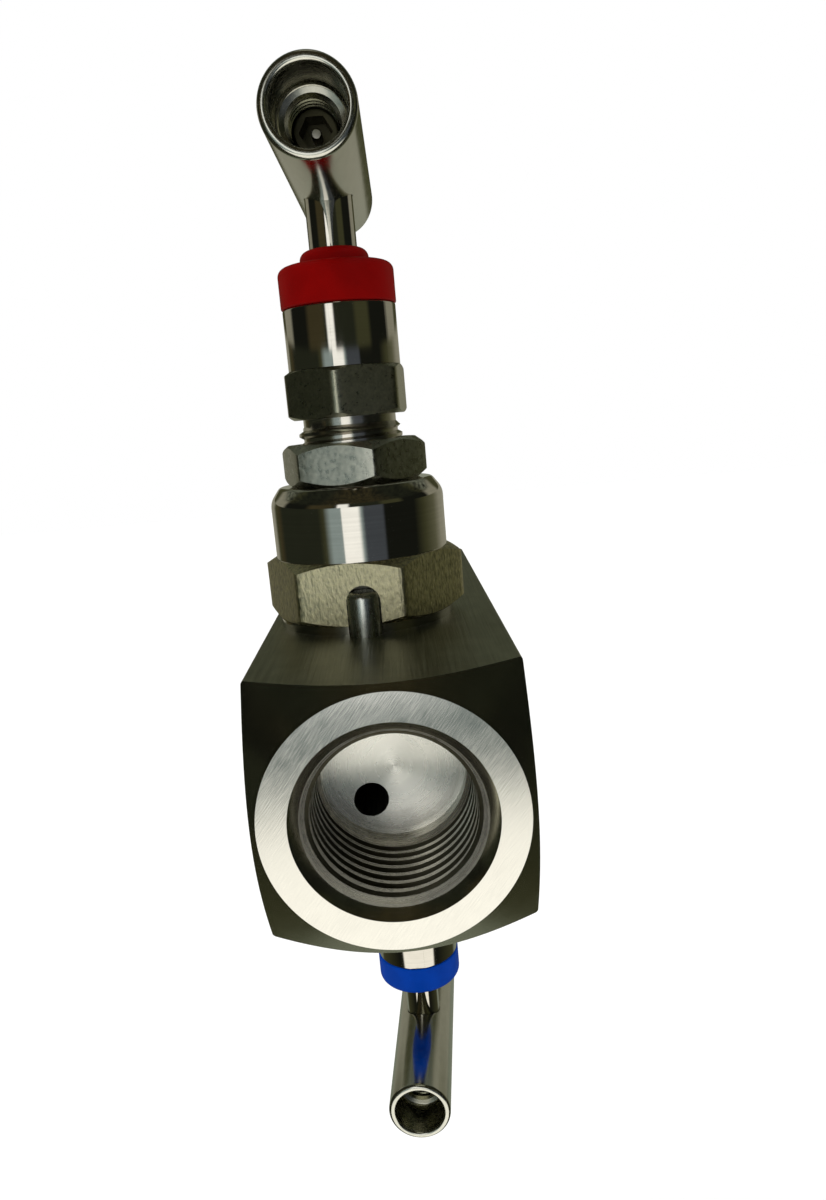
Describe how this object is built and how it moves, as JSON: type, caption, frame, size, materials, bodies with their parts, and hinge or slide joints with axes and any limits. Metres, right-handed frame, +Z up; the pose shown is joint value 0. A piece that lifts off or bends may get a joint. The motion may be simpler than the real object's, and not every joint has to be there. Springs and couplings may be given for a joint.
{
  "type": "needle valve",
  "caption": "Square-bar block and bleed needle valve with a threaded port in front and one side, a threaded nipple behind, a red-capped vent valve above and a blue-capped block valve below.",
  "frame": {"origin": "centre of the front port's mouth, on the port axis", "axes": "+Y into the bar along the port axis, +Z up towards the vent valve, +X towards the vent port"},
  "size_m": [0.0321, 0.116, 0.165],
  "materials": {
    "bar_steel": "ground bar stock, turned ends",
    "bonnet_steel": "polished barrel, grained hexagon",
    "gland_steel": "polished barrel, satin hexagon",
    "nut_steel": "satin",
    "handle_steel": "satin polish",
    "stem_steel": "polished",
    "pin_steel": "ground",
    "screw_steel": "plain",
    "washer_steel": "plain",
    "packing": "pressed polymer packing",
    "seal": "flat polymer ring",
    "red_cap": "satin moulded",
    "blue_cap": "satin moulded"
  },
  "bodies": {
    "manifold": {"valve_body": "bar_steel", "vent_bonnet": "bonnet_steel", "vent_bonnet_seal": "seal", "vent_lock_pin": "pin_steel", "vent_packing_washer": "washer_steel", "vent_thrust_washer": "washer_steel", "vent_gland": "gland_steel", "vent_lock_nut": "nut_steel", "vent_dust_cap": "red_cap", "vent_packing_ring_1": "packing", "vent_packing_ring_2": "packing", "vent_packing_ring_3": "packing", "block_bonnet": "bonnet_steel", "block_bonnet_seal": "seal", "block_lock_pin": "pin_steel", "block_packing_washer": "washer_steel", "block_thrust_washer": "washer_steel", "block_gland": "gland_steel", "block_lock_nut": "nut_steel", "block_dust_cap": "blue_cap", "block_packing_ring_1": "packing", "block_packing_ring_2": "packing", "block_packing_ring_3": "packing"},
    "vent_needle_slide": {"vent_needle": "stem_steel"},
    "vent_handle": {"vent_spindle": "stem_steel", "vent_swivel_ring": "washer_steel", "vent_handle_bar": "handle_steel", "vent_handle_screw": "screw_steel"},
    "block_needle_slide": {"block_needle": "stem_steel"},
    "block_handle": {"block_spindle": "stem_steel", "block_swivel_ring": "washer_steel", "block_handle_bar": "handle_steel", "block_handle_screw": "screw_steel"}
  },
  "joints": [
    {"name": "vent_needle_lift", "type": "slide", "parent": "manifold", "child": "vent_needle_slide", "axis": [0, 0, 1], "range_m": [-0.004, 0]},
    {"name": "vent_handle_turn", "type": "hinge", "parent": "vent_needle_slide", "child": "vent_handle", "pos_m": [-0.0021, 0.0357, 0.077], "axis": [0, 0, 1], "range_deg": [-1440, 0]},
    {"name": "block_needle_lift", "type": "slide", "parent": "manifold", "child": "block_needle_slide", "axis": [0, 0, -1], "range_m": [-0.004, 0]},
    {"name": "block_handle_turn", "type": "hinge", "parent": "block_needle_slide", "child": "block_handle", "pos_m": [0, 0.0673, -0.077], "axis": [0, 0, -1], "range_deg": [-1440, 0]}
  ],
  "couplings": [
    {"joint": "vent_needle_lift", "follows": "vent_handle_turn", "m_per_rad": 0.00015915},
    {"joint": "block_needle_lift", "follows": "block_handle_turn", "m_per_rad": 0.00015915}
  ]
}
